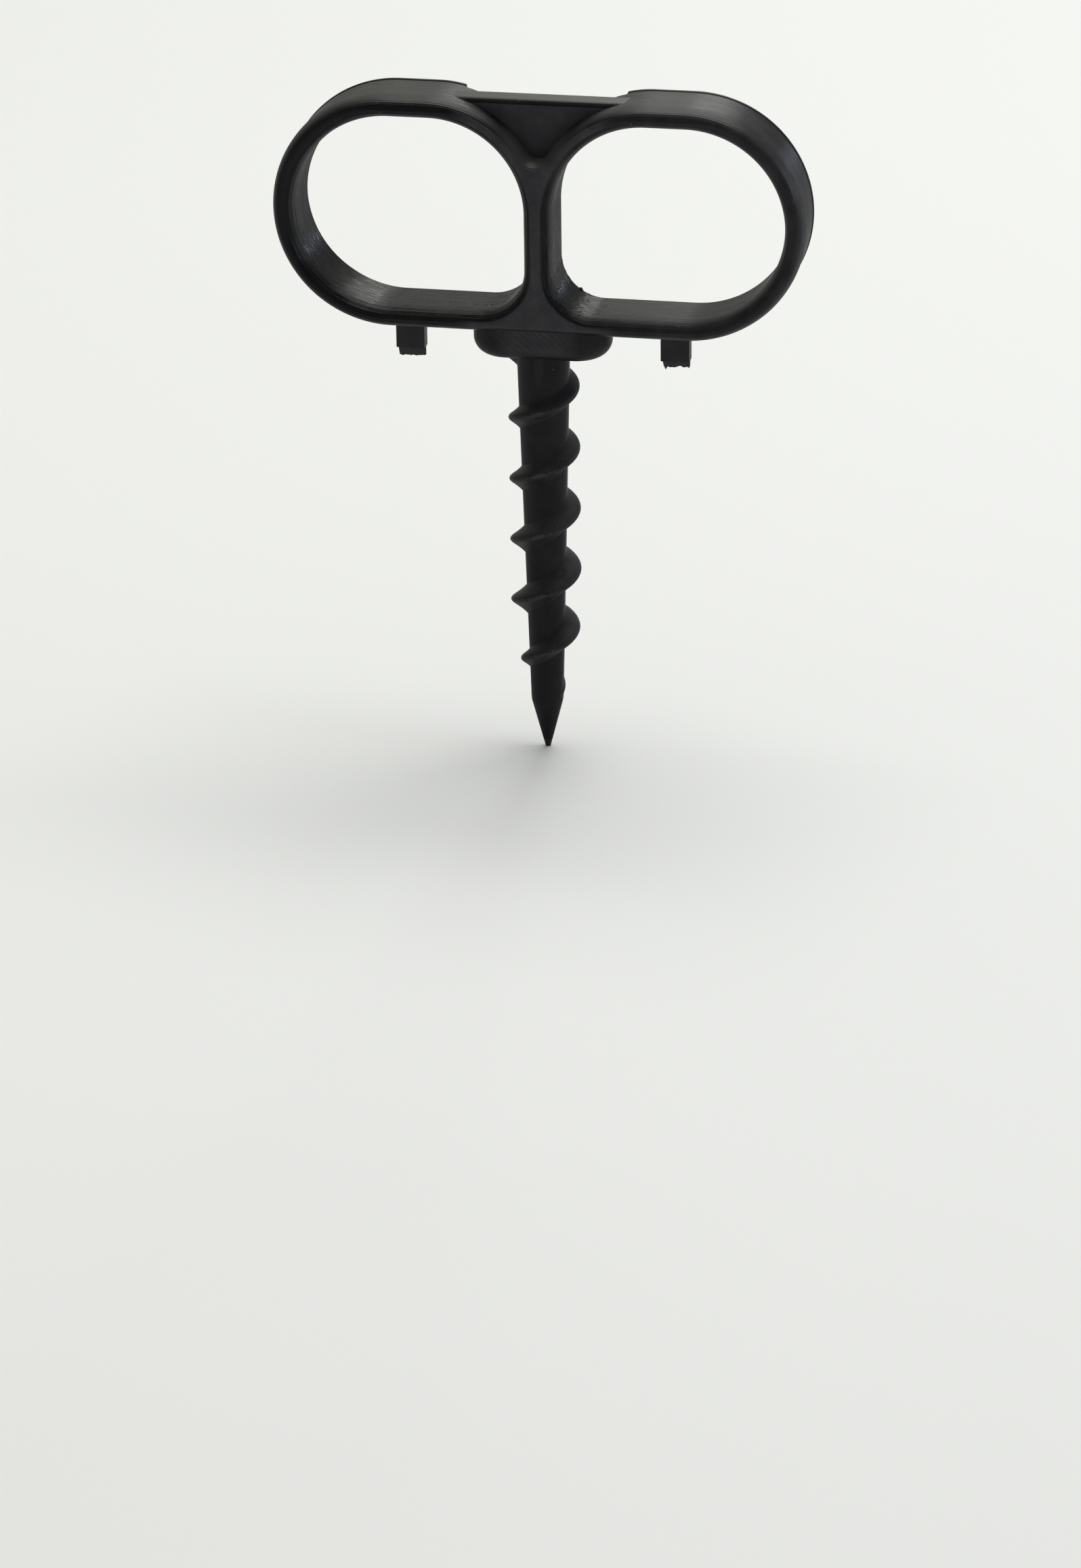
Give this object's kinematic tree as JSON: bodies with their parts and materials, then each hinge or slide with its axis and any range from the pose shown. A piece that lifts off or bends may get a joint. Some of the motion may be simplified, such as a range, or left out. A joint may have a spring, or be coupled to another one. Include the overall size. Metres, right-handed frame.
{
  "type": "corkscrew",
  "caption": "Hand corkscrew with oval finger loops side by side on a post, a rounded hub and a tapering helical worm that is turned into a cork and pulled straight.",
  "frame": {"origin": "middle of the hub's underside, on the worm's axis", "axes": "+Z along the worm's axis, up to the finger loops; +X across the loops; -Y is the front"},
  "size_m": [0.06, 0.0084, 0.078],
  "materials": {
    "black_plastic": "satin black, printed in fine layers that lie parallel to the back"
  },
  "bodies": {
    "root": {"left_finger_loop": "black_plastic", "right_finger_loop": "black_plastic", "upper_web": "black_plastic", "hub": "black_plastic", "worm_core": "black_plastic", "worm_flight": "black_plastic", "left_tab": "black_plastic", "right_tab": "black_plastic"}
  },
  "joints": []
}
